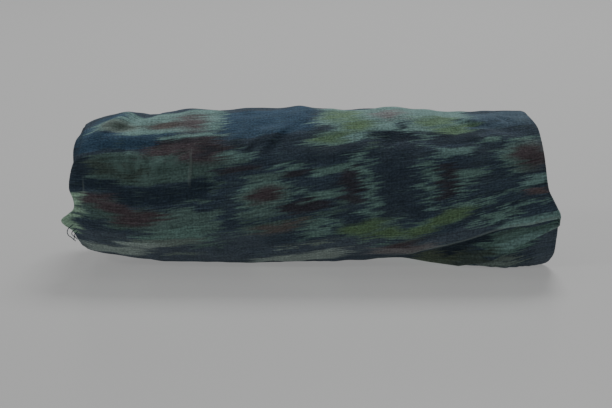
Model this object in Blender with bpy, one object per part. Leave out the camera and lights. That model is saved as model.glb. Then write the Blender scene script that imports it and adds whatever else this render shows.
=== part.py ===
"""A length of ikat cotton cloth, rolled up and lying on its side.

The cloth is folded double and wound about a long axis, which lies along X. It is made as two
solids: the wound form, and the last stretch of cloth that comes over the top and lies loose
against it, with a slanting free edge at the lower front. Metres, +Z up, resting on Z = 0.

An angle round the roll is in degrees: 0 faces the viewer (-Y), 90 is the top, 180 the back.
"""

import math
from collections import namedtuple

import bmesh
import bpy

MM = 0.001

# Driving sizes
AXIS_HEIGHT = 54.9 * MM
FLAP_THICKNESS = 2.2 * MM
SEAT_GAP = 0.3 * MM
FLAP_JOINT_ANGLE = 205.0
NOMINAL_LEFT = -166 * MM
NOMINAL_RIGHT = 173 * MM

# The loose stretch lifts off towards its right corner, and a pointed ear of it flares at the left
CORNER_LIFT = 2.6 * MM
CORNER_LIFT_REACH = 30 * MM
CORNER_START = 60 * MM
CORNER_SPAN = 110 * MM
EAR_FLARE = 3.5 * MM
EAR_START = 2 * MM
EAR_LENGTH = 9 * MM

# To the right the free edge stands proud of the cloth under it, which rises again below it
OPEN_EDGE_ANGLE = -67.0
OPEN_EDGE_SPAN = 12.0
UNDER_EDGE_REACH = 16 * MM

# Grid of the surfaces
ROWS = 28
FRONT_COLUMNS = 15
OVER_COLUMNS = 17
FRONT_END_ANGLE = 25.0
LOWER_BACK_COLUMNS = 5
LOWER_FRONT_COLUMNS = 10
LOWER_MIDDLE_ANGLE = 258.0
END_CROWDING = 0.035
END_RINGS = 12

# End faces: the turns of the cloth show as a spiral of low ridges
END_TURNS = 3.0
END_RIDGE = 3.4 * MM
END_DISH = 2.5 * MM
SHOULDER = 1.8 * MM

# Radii of the wound form at stations along its length, all in mm
MEAN_RADIUS = 57.0
Station = namedtuple("Station", "x top bottom front back")
STATIONS = [
    Station(-178, 34.0, 39.0, 46.5, 46.0),
    Station(-166, 42.0, 45.0, 51.5, 51.0),
    Station(-154, 47.4, 49.5, 55.0, 54.0),
    Station(-140, 50.2, 51.4, 56.5, 55.5),
    Station(-120, 52.3, 53.9, 57.5, 56.5),
    Station(-100, 53.0, 55.6, 58.5, 57.5),
    Station(-60, 54.2, 56.7, 59.0, 58.5),
    Station(-10, 55.4, 56.6, 59.0, 59.0),
    Station(30, 55.2, 55.4, 58.5, 59.0),
    Station(66, 55.0, 54.2, 58.0, 58.5),
    Station(100, 52.9, 55.8, 57.5, 58.0),
    Station(140, 53.2, 56.5, 57.0, 57.0),
    Station(178, 51.5, 55.0, 56.0, 55.5),
]

# Where the cloth ends along X, in mm, at angles round the roll: the wound form's two ends,
# and the loose stretch's two sides, which lie a little further out
EndRow = namedtuple("EndRow", "angle roll_left roll_right flap_left flap_right")
END_ROWS = [
    EndRow(-75, -157.0, 165.0, -159.0, 167.0),
    EndRow(-63, -160.0, 171.0, -162.0, 173.0),
    EndRow(-50, -161.5, 174.0, -164.5, 175.0),
    EndRow(-36, -164.0, 173.0, -168.0, 174.5),
    EndRow(-27, -165.5, 173.0, -171.5, 174.5),
    EndRow(-18, -165.5, 173.5, -176.5, 175.0),
    EndRow(-9, -164.5, 173.0, -168.0, 176.3),
    EndRow(-2, -164.5, 169.0, -166.8, 172.2),
    EndRow(9, -167.0, 164.5, -170.2, 167.5),
    EndRow(26, -167.0, 163.0, -169.8, 165.8),
    EndRow(45, -165.5, 160.5, -168.2, 163.2),
    EndRow(60, -163.5, 158.0, -166.5, 161.0),
    EndRow(80, -162.5, 153.5, -166.0, 156.6),
    EndRow(110, -162.5, 151.5, -166.0, 154.6),
    EndRow(150, -164.0, 151.5, -167.0, 154.5),
    EndRow(205, -163.0, 156.0, -166.0, 159.0),
    EndRow(250, -159.0, 162.0, -162.0, 165.0),
    EndRow(285, -157.0, 165.0, -159.0, 167.0),
]

# The free edge of the loose stretch: its angle, in degrees, at places along X, in mm
EdgePoint = namedtuple("EdgePoint", "x angle")
FREE_EDGE = [
    EdgePoint(-190, -68),
    EdgePoint(30, -68),
    EdgePoint(52, -66),
    EdgePoint(65, -57),
    EdgePoint(75, -49.5),
    EdgePoint(95, -37.5),
    EdgePoint(114, -29),
    EdgePoint(136, -20),
    EdgePoint(155, -14.5),
    EdgePoint(176, -9),
]

# Folds and bulges on the surface. Each is a soft ridge, or a trough where its height is
# negative: middle along X and round the roll, half length and half width on the cloth, lean
# of its length from the X axis, and height
Fold = namedtuple("Fold", "x angle run spread lean height")
FOLDS = [
    Fold(136, -59, 37, 17, 4, 9.2),
    Fold(155, -33, 27, 6, 30, 2.8),
    Fold(166, -12, 24, 8, 16, 2.4),
    Fold(-136, 74, 26, 8, 62, 2.2),
    Fold(-121, 84, 30, 7, 62, -3.4),
    Fold(-132, 47, 22, 9, -10, 1.6),
    Fold(-85, 27, 7, 16, 5, 1.6),
    Fold(-108, 23, 16, 10, 0, 1.5),
    Fold(-30, 50, 26, 7, 40, 2.0),
    Fold(-43, 37, 24, 6, 44, -1.8),
    Fold(-14, 57, 18, 6, 38, -1.2),
    Fold(-84, 100, 12, 18, 0, 1.6),
    Fold(-45, 102, 12, 20, 0, 1.8),
    Fold(-7, 102, 9, 20, 0, 2.2),
    Fold(57, 102, 11, 20, 0, 1.7),
    Fold(-18, -30, 60, 9, 9, -1.4),
    Fold(70, -44, 26, 8, 24, -1.6),
    Fold(-60, -56, 60, 8, 4, 1.4),
    Fold(108, 60, 24, 8, 12, -1.6),
    Fold(137, 76, 18, 7, -20, 1.6),
    Fold(60, 150, 50, 12, -8, 2.2),
    Fold(-70, 165, 48, 11, 6, -2.0),
    Fold(110, 176, 40, 10, 14, -1.8),
    Fold(10, 205, 70, 14, 4, 1.4),
]

CLOTH_COLOUR = (0.055, 0.095, 0.115, 1.0)
FLAP_COLOUR = (0.085, 0.135, 0.15, 1.0)


def smooth_between(points, at):
    """Value at a place on a smooth curve through (place, value) points."""
    last = len(points) - 1
    if at <= points[0][0]:
        return points[0][1]
    if at >= points[last][0]:
        return points[last][1]
    low = max(i for i in range(last) if points[i][0] <= at)

    def slope(i):
        before = points[max(i - 1, 0)]
        after = points[min(i + 1, last)]
        return (after[1] - before[1]) / (after[0] - before[0])

    start, start_value = points[low]
    end, end_value = points[low + 1]
    span = end - start
    t = (at - start) / span
    rise = (3 - 2 * t) * t * t
    ease_in = t * (1 - t) * (1 - t) * span * slope(low)
    ease_out = t * t * (t - 1) * span * slope(low + 1)
    return start_value + (end_value - start_value) * rise + ease_in + ease_out


def station_radius(x, column):
    """One of the four radii of the wound form at x."""
    points = [(row.x, getattr(row, column)) for row in STATIONS]
    return smooth_between(points, x / MM) * MM


def end_place(angle, column):
    """Where one of the ends lies along X at an angle round the roll."""
    turned = (angle - END_ROWS[0].angle) % 360.0 + END_ROWS[0].angle
    points = [(row.angle, getattr(row, column)) for row in END_ROWS]
    return smooth_between(points, turned) * MM


def row_edge_angle(share):
    """Angle of the free edge on the grid row at a share of the roll's length."""
    x = NOMINAL_LEFT + share * (NOMINAL_RIGHT - NOMINAL_LEFT)
    return smooth_between([(point.x, point.angle) for point in FREE_EDGE], x / MM)


def fold_height(x, angle):
    """Height that the folds add to the surface at x and angle."""
    total = 0.0
    for fold in FOLDS:
        along = x / MM - fold.x
        turn = (angle - fold.angle + 180.0) % 360.0 - 180.0
        round_it = math.radians(turn) * MEAN_RADIUS
        lean = math.radians(fold.lean)
        run = along * math.cos(lean) + round_it * math.sin(lean)
        spread = round_it * math.cos(lean) - along * math.sin(lean)
        fall = (run / fold.run) ** 2 + (spread / fold.spread) ** 2
        total += fold.height * math.exp(-fall)
    return total * MM


def outer_radius(x, angle):
    """Radius of the outermost cloth: an uneven oval with its folds."""
    turn = math.radians(angle)
    across = station_radius(x, "front" if math.cos(turn) > 0 else "back")
    up = station_radius(x, "top" if math.sin(turn) > 0 else "bottom")
    oval = across * up / math.hypot(up * math.cos(turn), across * math.sin(turn))
    return oval + fold_height(x, angle)


def point_at(x, radius, angle):
    """Point at a radius and angle round the axis, flattened where it meets the surface."""
    turn = math.radians(angle)
    height = AXIS_HEIGHT + radius * math.sin(turn)
    return (x, -radius * math.cos(turn), max(height, 0.0))


def flap_angles(edge):
    """Angles of the grid under the loose stretch, closer together at the front."""
    front = [edge + (FRONT_END_ANGLE - edge) * i / FRONT_COLUMNS for i in range(FRONT_COLUMNS)]
    over = [
        FRONT_END_ANGLE + (FLAP_JOINT_ANGLE - FRONT_END_ANGLE) * i / OVER_COLUMNS
        for i in range(OVER_COLUMNS + 1)
    ]
    return front + over


def lower_angles(edge):
    """Angles of the grid where the wound form itself shows, from the joint to the free edge."""
    gap = math.degrees(SEAT_GAP / AXIS_HEIGHT)
    start = FLAP_JOINT_ANGLE + gap
    end = edge + 360.0 - gap
    middle = LOWER_MIDDLE_ANGLE
    back_step = (middle - start) / LOWER_BACK_COLUMNS
    front_step = (end - middle) / LOWER_FRONT_COLUMNS
    back = [start + back_step * i for i in range(LOWER_BACK_COLUMNS)]
    front = [middle + front_step * i for i in range(LOWER_FRONT_COLUMNS + 1)]
    return back + front


def row_shares():
    """Shares of the roll's length at which the grid's rows lie, closer together at the ends."""
    shares = []
    for i in range(ROWS + 1):
        even = i / ROWS
        shares.append(even - END_CROWDING * math.sin(2 * math.pi * even))
    return shares


def covered_depth(x, angle, edge):
    """How far the wound form lies under the outer radius, on its lower part that shows."""
    step = FLAP_THICKNESS + SEAT_GAP
    open_edge = min(max((edge - OPEN_EDGE_ANGLE) / OPEN_EDGE_SPAN, 0.0), 1.0)
    below_edge = math.radians(edge + 360.0 - angle) * AXIS_HEIGHT
    return step * open_edge * math.exp(-((below_edge / UNDER_EDGE_REACH) ** 2))


def roll_section(share):
    """Points round the wound form at a share of its length, with their angles."""
    edge = row_edge_angle(share)
    section = []
    for angle in flap_angles(edge):
        x = row_place(angle, share)
        radius = outer_radius(x, angle) - FLAP_THICKNESS - SEAT_GAP
        section.append((x, radius, angle))
    for angle in lower_angles(edge):
        x = row_place(angle, share)
        radius = outer_radius(x, angle) - covered_depth(x, angle, edge)
        section.append((x, radius, angle))
    return section


def row_place(angle, share):
    """Place along X of a grid row at an angle round the roll."""
    left = end_place(angle, "roll_left")
    right = end_place(angle, "roll_right")
    return left + (right - left) * share


def end_ring(section, share, side):
    """Points of one ring on an end face, at a share of the radius."""
    middle_x = sum(x for x, radius, angle in section) / len(section)
    mean_radius = sum(radius for x, radius, angle in section) / len(section)
    fade = math.sin(math.pi * share) ** 0.5
    points = []
    for x, radius, angle in section:
        wave = 0.5 - 0.5 * math.cos(2 * math.pi * (END_TURNS * share - angle / 360.0))
        depth = END_RIDGE * wave * fade + END_DISH * (1 - share * share)
        rim_x = middle_x + (x - middle_x) * share
        ring_radius = mean_radius + (radius - mean_radius) * share * share
        point = point_at(rim_x - side * depth, ring_radius * share, angle)
        points.append(point)
    return points


def close_band(mesh, first, second):
    """Faces between two closed rings of vertices."""
    count = len(first)
    for i in range(count):
        after = (i + 1) % count
        mesh.faces.new((first[i], first[after], second[after], second[i]))


def add_object(name, mesh, colour, roughness):
    """Turn a bmesh into a named object with its own material."""
    bmesh.ops.recalc_face_normals(mesh, faces=mesh.faces)
    data = bpy.data.meshes.new(name)
    mesh.to_mesh(data)
    mesh.free()
    data.shade_smooth()
    data.set_sharp_from_angle(angle=math.radians(40))
    material = bpy.data.materials.new(name + "_cotton")
    material.use_nodes = True
    shader = material.node_tree.nodes["Principled BSDF"]
    shader.inputs["Base Color"].default_value = colour
    shader.inputs["Roughness"].default_value = roughness
    shader.inputs["Metallic"].default_value = 0.0
    data.materials.append(material)
    thing = bpy.data.objects.new(name, data)
    bpy.context.scene.collection.objects.link(thing)
    return thing


def make_cloth_roll():
    """The wound form: one closed solid, lofted along the roll, with spiral ends."""
    mesh = bmesh.new()
    shares = row_shares()
    sections = [roll_section(share) for share in shares]
    rings = []
    for section in sections:
        rings.append([mesh.verts.new(point_at(*place)) for place in section])
    for first, second in zip(rings, rings[1:]):
        close_band(mesh, first, second)
    for section, ring, side in ((sections[0], rings[0], -1), (sections[-1], rings[-1], 1)):
        before = ring
        rounded = [(x + side * SHOULDER / 2, r - SHOULDER, a) for x, r, a in section]
        for i in range(END_RINGS):
            share = 1.0 - i / END_RINGS
            points = end_ring(rounded, share, side)
            now = [mesh.verts.new(point) for point in points]
            close_band(mesh, before, now)
            before = now
        hub = end_ring(rounded, 0.0, side)[0]
        centre = mesh.verts.new(hub)
        for i in range(len(before)):
            after = (i + 1) % len(before)
            mesh.faces.new((before[i], before[after], centre))
    return add_object("cloth_roll", mesh, CLOTH_COLOUR, 0.85)


def flap_point(x, angle, edge, depth):
    """A point of the loose stretch, at a depth under its outer face."""
    from_edge = math.radians(angle - edge) * AXIS_HEIGHT
    near_edge = math.exp(-((from_edge / CORNER_LIFT_REACH) ** 2))
    near_corner = min(max((x - CORNER_START) / CORNER_SPAN, 0.0), 1.0)
    lift = CORNER_LIFT * near_edge * near_corner
    beyond = max(end_place(angle, "roll_left") - EAR_START - x, 0.0)
    ear = EAR_FLARE * min(beyond / EAR_LENGTH, 1.0)
    return point_at(x, outer_radius(x, angle) + lift + ear - depth, angle)


def flap_rows():
    """Rows of the loose stretch: those of the wound form, and two more past each end.

    Each gives the side it leads to, how far past the wound form's end, and its share.
    """
    rows = [("flap_left", 1.0, 0.0), ("flap_left", 0.5, 0.0)]
    rows += [("", 0.0, share) for share in row_shares()]
    rows += [("flap_right", 0.5, 1.0), ("flap_right", 1.0, 1.0)]
    return rows


def make_outer_flap():
    """The loose last stretch: a sheet from the low back, over the top, to its free edge."""
    mesh = bmesh.new()
    outer = []
    inner = []
    for end, beyond, share in flap_rows():
        edge = row_edge_angle(share)
        outer_row = []
        inner_row = []
        for angle in flap_angles(edge):
            x = row_place(angle, share)
            if end:
                x += (end_place(angle, end) - x) * beyond
            outer_row.append(mesh.verts.new(flap_point(x, angle, edge, 0.0)))
            inner_row.append(mesh.verts.new(flap_point(x, angle, edge, FLAP_THICKNESS)))
        outer.append(outer_row)
        inner.append(inner_row)
    last = len(outer) - 1
    width = len(outer[0])
    for i in range(last):
        for j in range(width - 1):
            for face in (outer, inner):
                corners = (face[i][j], face[i + 1][j], face[i + 1][j + 1], face[i][j + 1])
                mesh.faces.new(corners)
        for j in (0, width - 1):
            mesh.faces.new((outer[i][j], outer[i + 1][j], inner[i + 1][j], inner[i][j]))
    for j in range(width - 1):
        for i in (0, last):
            mesh.faces.new((outer[i][j], outer[i][j + 1], inner[i][j + 1], inner[i][j]))
    return add_object("outer_flap", mesh, FLAP_COLOUR, 0.85)


def centre_on_surface(things):
    """Move the meshes so that the box is centred on the origin and rests on Z = 0."""
    points = [vertex.co for thing in things for vertex in thing.data.vertices]
    low = [min(point[axis] for point in points) for axis in range(3)]
    high = [max(point[axis] for point in points) for axis in range(3)]
    shift = (-(low[0] + high[0]) / 2, -(low[1] + high[1]) / 2, -low[2])
    for thing in things:
        for vertex in thing.data.vertices:
            vertex.co.x += shift[0]
            vertex.co.y += shift[1]
            vertex.co.z += shift[2]


def main():
    for thing in list(bpy.data.objects):
        bpy.data.objects.remove(thing)
    centre_on_surface([make_cloth_roll(), make_outer_flap()])


main()
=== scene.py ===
"""The looks of a rolled length of ikat cotton cloth.

The cloth is folded double and wound up, so each turn has two plies that meet in a soft fold at
the right end and show their selvedges at the left. An angle round the roll is in degrees: 0
faces the camera (-Y), 90 is the top. A wound-in angle is counted from the outer ply's free edge.
Sizes are in mm, and meshes in metres.
"""

import math
from collections import namedtuple
from itertools import groupby

import bpy
import numpy as np
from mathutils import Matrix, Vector, noise


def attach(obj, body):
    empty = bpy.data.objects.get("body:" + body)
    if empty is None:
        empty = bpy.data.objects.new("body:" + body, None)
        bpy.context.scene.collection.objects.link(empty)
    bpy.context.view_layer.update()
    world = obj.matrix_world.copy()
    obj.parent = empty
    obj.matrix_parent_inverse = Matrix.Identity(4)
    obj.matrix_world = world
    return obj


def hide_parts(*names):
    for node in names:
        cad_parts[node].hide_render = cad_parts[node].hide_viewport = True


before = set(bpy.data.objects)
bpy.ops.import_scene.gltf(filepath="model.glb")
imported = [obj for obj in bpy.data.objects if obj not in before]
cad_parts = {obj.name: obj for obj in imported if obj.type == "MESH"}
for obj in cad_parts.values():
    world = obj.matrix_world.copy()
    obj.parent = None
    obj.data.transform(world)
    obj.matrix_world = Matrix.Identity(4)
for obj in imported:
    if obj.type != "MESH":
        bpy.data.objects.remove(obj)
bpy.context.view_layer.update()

MM = 0.001

# The roll's axis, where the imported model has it
AXIS = (0.08, 0.58, 54.9)
MEAN_RADIUS = 57.0
FLOOR_CLEARANCE = 0.5

# The cloth and how it is wound
CLOTH_THICKNESS = 0.55
PLY_SPACING = 1.25
TURN_PITCH = 4.2
CORE_RADIUS = 4.5

# The outer turn steps down under itself between two wound-in angles, and winds on from a third
FIRST_STEP = 3.0
STEP_START = 292.0
STEP_END = 352.0
WIND_START = 370.0
END_BLEND = 12.0

# The fold at the right end, which is slack on the side that shows
FOLD_ROUND = 1.5
FOLD_REACH = 9.0
FOLD_SLACK = (200.0, 300.0)

# The hem of the free edges, with the angles of its bend
HEM_WIDTH = 6.0
HEM_ROUND = 0.75
HEM_BEND = (180.0, 150.0, 110.0, 70.0, 35.0)

# At the right the outer ply's free edge lifts off, most at its corner, and the ply behind dips
# under it and then lifts at its own edge
LIFT_ZONE = (62.0, 112.0)
CORNER_ZONE = (120.0, 172.0)
EDGE_LIFT = 2.2
EDGE_LIFT_REACH = 9.0
CORNER_LIFT_REACH = 22.0
BEHIND_DIP = 2.2
BEHIND_DIP_AT = 1.0
BEHIND_DIP_REACH = 9.0
BEHIND_LIFT = 2.6
BEHIND_LIFT_REACH = 5.0

# The outer ply's point that stands out at the left end
POINT_START = -167.5
POINT_LENGTH = 9.0
POINT_LIFT = 3.5
POINT_ANGLES = (-45.0, -25.0, -10.0, 0.0)

# The rim at the upper left: the ply behind stands out beyond the outer ply, which dents it
RIM_ANGLES = (15.0, 45.0, 50.0, 76.0)
RIM_REACH = 0.6
RIM_DENT = 5.0
RIM_DENT_REACH = 2.6
RIM_CURL = 1.6
RIM_CURL_REACH = 2.4

# Fine wrinkles: sizes of the long and the short ones along X, Y and Z, their heights, where they
# calm down under the turn above, and how far they may rise
LONG_WRINKLES = (46.0, 9.0, 9.0)
SHORT_WRINKLES = (13.0, 8.0, 8.0)
LONG_HEIGHT = 1.5
SHORT_HEIGHT = 0.8
WRINKLE_RADIUS = 40.0
CALM_ANGLES = (300.0, 350.0)
CALMED_SHARE = 0.5
DEEPER_SHARE = 0.4
MOST_RISE = 2.5

# The ends of the inner turns: how far they stand out and in, slowly and quickly, over how many
# degrees, and how they even out towards the middle
INNER_LENGTH = 330.0
INNER_HALF = 162.0
SLOW_SHIFT = 3.4
SLOW_ANGLE = 410.0
QUICK_SHIFT = 1.0
QUICK_ANGLE = 95.0
EVENING_ANGLES = (400.0, 2600.0)
BACK_PLY_IN = 0.8
BACK_PLY_SHIFT = 1.2
BACK_PLY_WAVES = 1.3
INNER_FOLD_ROUND = 1.2
INNER_FOLD_GAP = 0.9
INNER_FOLD_REACH = 7.0
SWAY = 0.5
SWAY_ANGLE = 60.0

# The free edge's slant fades out over the inner turns, to the angle that it has on the whole
SLANT_ANGLES = (400.0, 1400.0)
MIDDLE_SLANT = -60.0

# Grids: degrees for each row and columns across, of the outer turn and the inner turns
FRONT_STEP = 1.5
FRONT_TURN = 201.0
REST_STEP = 3.5
OUTER_TURN = 400.5
FACE_COLUMNS = 190
BACK_COLUMNS = 28
BACK_CROWDING = 0.13
FOLD_COLUMNS = 6
INNER_STEP = 9.0
INNER_OVERLAP = 6.0
INNER_END = 20.0
INNER_FOLD_COLUMNS = 5
MIDDLE_COLUMNS = 5
END_COLUMNS = 8
END_CROWDING = 1.4
END_ZONE = 22.0

# The roll's length as it is shared out over the columns, where the free edges are looked up
EVEN_LEFT = -166.0
EVEN_LENGTH = 342.0

# Radii of the wound form at stations along its length
Station = namedtuple("Station", "x top bottom front back")
STATIONS = [
    Station(-178, 34.0, 39.0, 46.5, 46.0),
    Station(-166, 43.0, 45.0, 51.5, 51.0),
    Station(-154, 48.9, 49.5, 55.0, 54.0),
    Station(-140, 52.3, 51.4, 56.5, 55.5),
    Station(-120, 52.3, 53.9, 57.5, 56.5),
    Station(-100, 53.0, 55.6, 58.5, 57.5),
    Station(-60, 54.2, 56.7, 59.0, 58.5),
    Station(-10, 55.4, 56.6, 59.0, 59.0),
    Station(30, 55.2, 55.4, 58.5, 59.0),
    Station(66, 55.0, 54.2, 58.0, 58.5),
    Station(100, 52.9, 55.8, 57.5, 58.0),
    Station(140, 53.2, 56.5, 57.0, 57.0),
    Station(178, 51.5, 55.0, 56.0, 55.5),
]

# Where the cloth ends along X at angles round the roll: the outer ply's two sides, and the
# sides of the turns under it
EndRow = namedtuple("EndRow", "angle left right under_left under_right")
END_ROWS = [
    EndRow(-90, -159.0, 165.0, -158.0, 162.0),
    EndRow(-75, -159.5, 167.0, -158.0, 165.5),
    EndRow(-63, -162.0, 173.0, -161.0, 172.0),
    EndRow(-50, -164.5, 175.5, -163.0, 175.4),
    EndRow(-36, -168.0, 176.0, -164.0, 175.8),
    EndRow(-30, -170.2, 176.2, -165.0, 175.9),
    EndRow(-25, -173.0, 176.2, -165.5, 175.9),
    EndRow(-20, -176.4, 176.2, -165.5, 175.6),
    EndRow(-17, -176.3, 176.3, -165.5, 175.0),
    EndRow(-13, -172.0, 175.8, -165.0, 174.0),
    EndRow(-9, -168.2, 176.2, -165.0, 173.0),
    EndRow(-5, -166.8, 174.2, -165.0, 171.0),
    EndRow(1, -167.6, 171.2, -165.5, 168.0),
    EndRow(9, -170.2, 167.5, -167.0, 165.0),
    EndRow(26, -168.8, 165.8, -167.5, 163.5),
    EndRow(45, -164.2, 164.4, -168.0, 161.0),
    EndRow(60, -163.2, 162.8, -167.0, 158.5),
    EndRow(80, -163.2, 158.6, -165.0, 154.5),
    EndRow(110, -162.8, 154.6, -164.4, 152.0),
    EndRow(150, -166.0, 154.5, -163.5, 151.5),
    EndRow(205, -166.0, 159.0, -163.5, 156.0),
    EndRow(245, -162.0, 164.0, -160.0, 161.0),
    EndRow(270, -159.0, 165.0, -158.0, 162.0),
]

# Angles of the free edges of the outer ply and of the ply behind it
EdgePoint = namedtuple("EdgePoint", "x outer behind")
FREE_EDGES = [
    EdgePoint(-190, -92, -96),
    EdgePoint(0, -88, -92),
    EdgePoint(28, -80, -90),
    EdgePoint(50, -67, -86),
    EdgePoint(65, -57, -80),
    EdgePoint(75, -49.5, -75),
    EdgePoint(95, -37.5, -65),
    EdgePoint(114, -29, -57),
    EdgePoint(130, -22, -48),
    EdgePoint(142, -17.3, -41),
    EdgePoint(157, -13.8, -31),
    EdgePoint(176, -9, -20),
]

# Folds and bulges: middle along X and round the roll, half length and half width on the
# cloth, lean of its length from the X axis, and height, which is negative for a trough
Fold = namedtuple("Fold", "x angle run spread lean height")
FOLDS = [
    Fold(136, -59, 37, 17, 4, 9.2),
    Fold(166, -12, 24, 8, 16, 2.4),
    Fold(112, -43, 26, 7.5, 20, -6.5),
    Fold(-136, 74, 26, 8, 62, 2.2),
    Fold(-121, 84, 30, 6, 62, -3.4),
    Fold(-132, 47, 22, 9, -10, 1.6),
    Fold(-85, 27, 5, 13, 5, 1.6),
    Fold(-108, 23, 16, 10, 0, 1.5),
    Fold(-30, 50, 26, 6, 40, 2.0),
    Fold(-43, 37, 24, 5, 44, -1.8),
    Fold(-14, 57, 18, 5, 38, -1.2),
    Fold(-84, 100, 12, 18, 0, 1.6),
    Fold(-45, 102, 12, 20, 0, 1.8),
    Fold(-7, 102, 9, 20, 0, 2.2),
    Fold(57, 102, 11, 20, 0, 1.7),
    Fold(-18, -30, 60, 9, 9, -1.4),
    Fold(70, -44, 26, 8, 24, -1.6),
    Fold(-60, -56, 60, 8, 4, 1.4),
    Fold(108, 60, 24, 8, 12, -1.6),
    Fold(137, 76, 18, 6, -20, 1.6),
    Fold(60, 150, 50, 12, -8, 2.2),
    Fold(-70, 165, 48, 11, 6, -2.0),
    Fold(110, 176, 40, 10, 14, -1.8),
    Fold(10, 205, 70, 14, 4, 1.4),
    Fold(-44, 38, 12, 2.6, 52, 2.0),
    Fold(-37, 41, 13, 2.6, 52, 2.3),
    Fold(-30, 44, 12, 2.6, 50, 1.9),
    Fold(-40, 40, 12, 2.2, 52, -1.8),
    Fold(-33, 43, 12, 2.2, 50, -1.8),
    Fold(-22, 52, 15, 3.0, 42, 1.1),
    Fold(-50, 52, 10, 3.0, 60, 0.9),
    Fold(-84, 27, 12, 2.2, 88, 2.6),
    Fold(-128, 31, 7, 3.2, 80, 1.9),
    Fold(-118, 28, 8, 3.2, 75, 2.1),
    Fold(-108, 25, 7, 3.0, 85, 1.8),
    Fold(-122, 21, 7, 3.4, 60, -1.7),
    Fold(-96, 34, 10, 3.0, 40, 0.9),
    Fold(138, 73, 6, 2.2, -50, -2.6),
    Fold(116, 66, 11, 2.5, -18, -2.2),
    Fold(111, 71, 10, 2.6, -10, 1.2),
    Fold(104, 56, 9, 2.4, 80, -1.1),
    Fold(128, 58, 12, 3.0, -35, 1.0),
    Fold(-90, -25, 22, 3.2, -12, 1.2),
    Fold(-118, -36, 20, 3.6, 6, 1.3),
    Fold(-60, -34, 24, 4.0, 12, -1.1),
    Fold(-20, -44, 30, 4.0, 8, 1.1),
    Fold(20, -30, 26, 3.6, 12, -0.9),
    Fold(140, -5, 36, 2.8, 9, 1.0),
    Fold(126, -15, 36, 2.8, 14, 1.1),
    Fold(146, -10, 30, 2.6, 12, -0.9),
    Fold(74, -34, 26, 3.2, 20, -1.2),
    Fold(-150, 62, 12, 3.0, 50, 1.2),
    Fold(-142, 55, 14, 3.0, 35, -1.0),
    Fold(15, 92, 6, 16, 0, 1.0),
    Fold(88, 95, 5, 14, 8, 0.9),
]

# How the yarns along the roll tilt: their height on the cloth at places along X
TiltPoint = namedtuple("TiltPoint", "x height")
YARN_TILT = [
    TiltPoint(-176, -15.0),
    TiltPoint(-150, -16.0),
    TiltPoint(-120, -16.5),
    TiltPoint(-90, -13.0),
    TiltPoint(-60, -9.5),
    TiltPoint(-30, -4.8),
    TiltPoint(0, 0.0),
    TiltPoint(60, 9.5),
    TiltPoint(120, 18.5),
    TiltPoint(176, 27.5),
]

# The pattern's start, and the stretch near the free edge at the right where the yarns lean
# halfway towards that edge
CHART_OFFSET = 52.0
EDGE_REACH = 45.0
EDGE_PULL = 0.5
PULL_ZONE = (30.0, 80.0)

# The free edges show a pale line, partly wear and partly painted highlight, apart from the ply
# behind, which shows it at the corner only
BEHIND_EDGE_LINE_SHIFT = 5.0
EDGE_LINE_CORNER = (148.0, 160.0)

# Loose threads at the lower left: points along each, as x, y and z in mm from the axis' foot
THREADS = [
    [(-168.0, -51.5, 37.0), (-171.6, -54.0, 33.5), (-171.0, -55.0, 30.5), (-168.5, -56.0, 28.8),
     (-165.5, -57.0, 26.5)],
    [(-165.5, -52.0, 34.5), (-168.5, -55.0, 31.5), (-166.5, -56.5, 29.0), (-167.3, -57.0, 27.5)],
    [(-164.5, -52.5, 32.5), (-166.5, -55.5, 30.4), (-164.3, -57.0, 27.8)],
]
THREAD_RADIUS = 0.3


def smooth_curve(rows, column, at):
    """Values on the smooth curve through one column of a table, at an array of places."""
    places = np.array([row[0] for row in rows], float)
    values = np.array([getattr(row, column) for row in rows], float)
    slopes = np.gradient(values, places)
    slopes[1:-1] = (values[2:] - values[:-2]) / (places[2:] - places[:-2])
    at = np.clip(at, places[0], places[-1])
    low = np.clip(np.searchsorted(places, at, side="right") - 1, 0, len(places) - 2)
    span = places[low + 1] - places[low]
    t = (at - places[low]) / span
    rise = (3 - 2 * t) * t * t
    curve = values[low] + (values[low + 1] - values[low]) * rise
    curve += t * (1 - t) ** 2 * span * slopes[low]
    curve += t * t * (t - 1) * span * slopes[low + 1]
    return curve


def ease(start, end, at):
    """Smooth rise from 0 to 1 between two values."""
    t = np.clip((at - start) / (end - start), 0.0, 1.0)
    return t * t * (3 - 2 * t)


def zone(start, full, fading, end, at):
    """Smooth rise from 0 to 1 between the first two values, and back between the last two."""
    return ease(start, full, at) * (1 - ease(fading, end, at))


def bell(distance, reach):
    """1 at no distance, fading to nothing beyond about twice the reach."""
    return np.exp(-((distance / reach) ** 2))


def turned(angle):
    """An angle brought into the range of the end table."""
    return (angle + 90.0) % 360.0 - 90.0


def fold_height(x, angle):
    """Height that the folds add to the surface."""
    total = np.zeros_like(x)
    for fold in FOLDS:
        along = x - fold.x
        round_it = np.radians((angle - fold.angle + 180.0) % 360.0 - 180.0) * MEAN_RADIUS
        lean = math.radians(fold.lean)
        run = along * math.cos(lean) + round_it * math.sin(lean)
        spread = round_it * math.cos(lean) - along * math.sin(lean)
        total += fold.height * bell(run, fold.run) * bell(spread, fold.spread)
    return total


def outer_shape(x, angle):
    """Offsets from the axis, in Y and Z, of the outermost surface, flat at the bottom."""
    turn = np.radians(angle)
    front = smooth_curve(STATIONS, "front", x)
    back = smooth_curve(STATIONS, "back", x)
    top = smooth_curve(STATIONS, "top", x)
    bottom = smooth_curve(STATIONS, "bottom", x)
    across = np.where(np.cos(turn) > 0, front, back)
    up = np.where(np.sin(turn) > 0, top, bottom)
    radius = across * up / np.hypot(up * np.cos(turn), across * np.sin(turn))
    radius += fold_height(x, angle)
    y = -radius * np.cos(turn)
    z = np.maximum(radius * np.sin(turn), -AXIS[2])
    return y, z


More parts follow.
